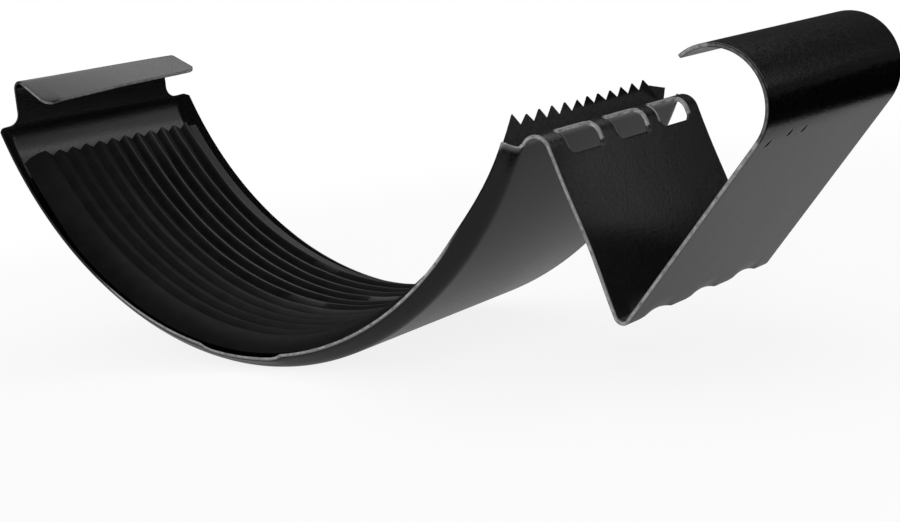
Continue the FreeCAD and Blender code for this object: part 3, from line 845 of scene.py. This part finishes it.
def addFloor(settings):
    bpy.ops.object.select_all(action="DESELECT")
    low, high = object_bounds()
    bpy.ops.mesh.primitive_plane_add(size=settings["floorSize"], location=(0, 0, low.z))
    floor = bpy.context.object
    floor.name = "floor"
    material, tree, shader = makeMaterial("pale floor")
    path = addNode(tree, "ShaderNodeLightPath").outputs
    tone = addNode(tree, "ShaderNodeMapRange", [(path["Is Camera Ray"], "Value")])
    tone.inputs["To Min"].default_value, tone.inputs["To Max"].default_value = settings["floorTones"]
    tree.links.new(tone.outputs["Result"], shader.inputs["Base Color"])
    shader.inputs["Roughness"].default_value = 0.9
    shader.inputs["Specular IOR Level"].default_value = 0.0
    where = addNode(tree, "ShaderNodeTexCoord").outputs["Object"]
    reach = addNode(tree, "ShaderNodeVectorMath", [(where, 0)], operation="LENGTH")
    share = addNode(tree, "ShaderNodeMapRange", [(reach.outputs["Value"], "Value")], interpolation_type="SMOOTHSTEP")
    share.inputs["From Min"].default_value, share.inputs["From Max"].default_value = settings["floorFade"]
    share.inputs["To Min"].default_value = settings["floorWhite"]
    white = addNode(tree, "ShaderNodeEmission")
    mixed = addNode(tree, "ShaderNodeMixShader")
    tree.links.new(whiteFactor(tree, share.outputs["Result"], settings["floorGloss"]), mixed.inputs[0])
    tree.links.new(shader.outputs[0], mixed.inputs[1])
    tree.links.new(white.outputs[0], mixed.inputs[2])
    tree.links.new(mixed.outputs[0], tree.nodes["Material Output"].inputs["Surface"])
    floor.data.materials.append(material)
    floor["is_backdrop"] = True
    return low.z


def addDarkCard(settings, floorHeight):
    # a dark card before the object, out of the camera's sight, that the gloss mirrors as a black band
    bpy.ops.object.select_all(action="DESELECT")
    size = settings["floorSize"] / 2
    turn = math.radians(settings["cardTurn"])
    x, y = settings["cardCorner"]
    middle = (x + math.cos(turn) * size / 2, y + math.sin(turn) * size / 2, floorHeight + 0.0002)
    bpy.ops.mesh.primitive_plane_add(size=size, location=middle, rotation=(0, 0, turn))
    card = bpy.context.object
    card.name = "darkCard"
    material, tree, shader = makeMaterial("black card")
    shader.inputs["Base Color"].default_value = (0.002, 0.002, 0.002, 1)
    shader.inputs["Roughness"].default_value = 1.0
    shader.inputs["Specular IOR Level"].default_value = 0.0
    card.data.materials.append(material)
    card.visible_camera = False
    card.visible_diffuse = False
    card.visible_shadow = False
    card.visible_transmission = False
    card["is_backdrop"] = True


def addSoftbox(name, place, size, radiance, inGloss):
    data = bpy.data.lights.new(name, "AREA")
    data.shape = "RECTANGLE"
    data.size, data.size_y = size
    data.energy = radiance * math.pi * size[0] * size[1]
    light = bpy.data.objects.new(name, data)
    light.location = place
    light.rotation_euler = (Vector((0, 0, 0.03)) - Vector(place)).to_track_quat("-Z", "Y").to_euler()
    light.visible_camera = False
    light.visible_glossy = inGloss
    scene.collection.objects.link(light)


def addSurround(settings):
    world = bpy.data.worlds.new("studio")
    scene.world = world
    world.use_nodes = True
    tree = world.node_tree
    dim = tree.nodes["Background"]
    dim.inputs["Color"].default_value = (1, 1, 1, 1)
    dim.inputs["Strength"].default_value = settings["surround"]
    white = addNode(tree, "ShaderNodeBackground", Strength=1.0)
    white.inputs["Color"].default_value = (1, 1, 1, 1)
    mixed = addNode(tree, "ShaderNodeMixShader")
    tree.links.new(whiteFactor(tree, 1.0, settings["surroundGloss"]), mixed.inputs[0])
    tree.links.new(dim.outputs[0], mixed.inputs[1])
    tree.links.new(white.outputs[0], mixed.inputs[2])
    tree.links.new(mixed.outputs[0], tree.nodes["World Output"].inputs["Surface"])


floorHeight = addFloor(studioSettings)
addDarkCard(studioSettings, floorHeight)
for name, values in softboxes.items():
    addSoftbox(name, *values)
addSurround(studioSettings)
print("studio set")
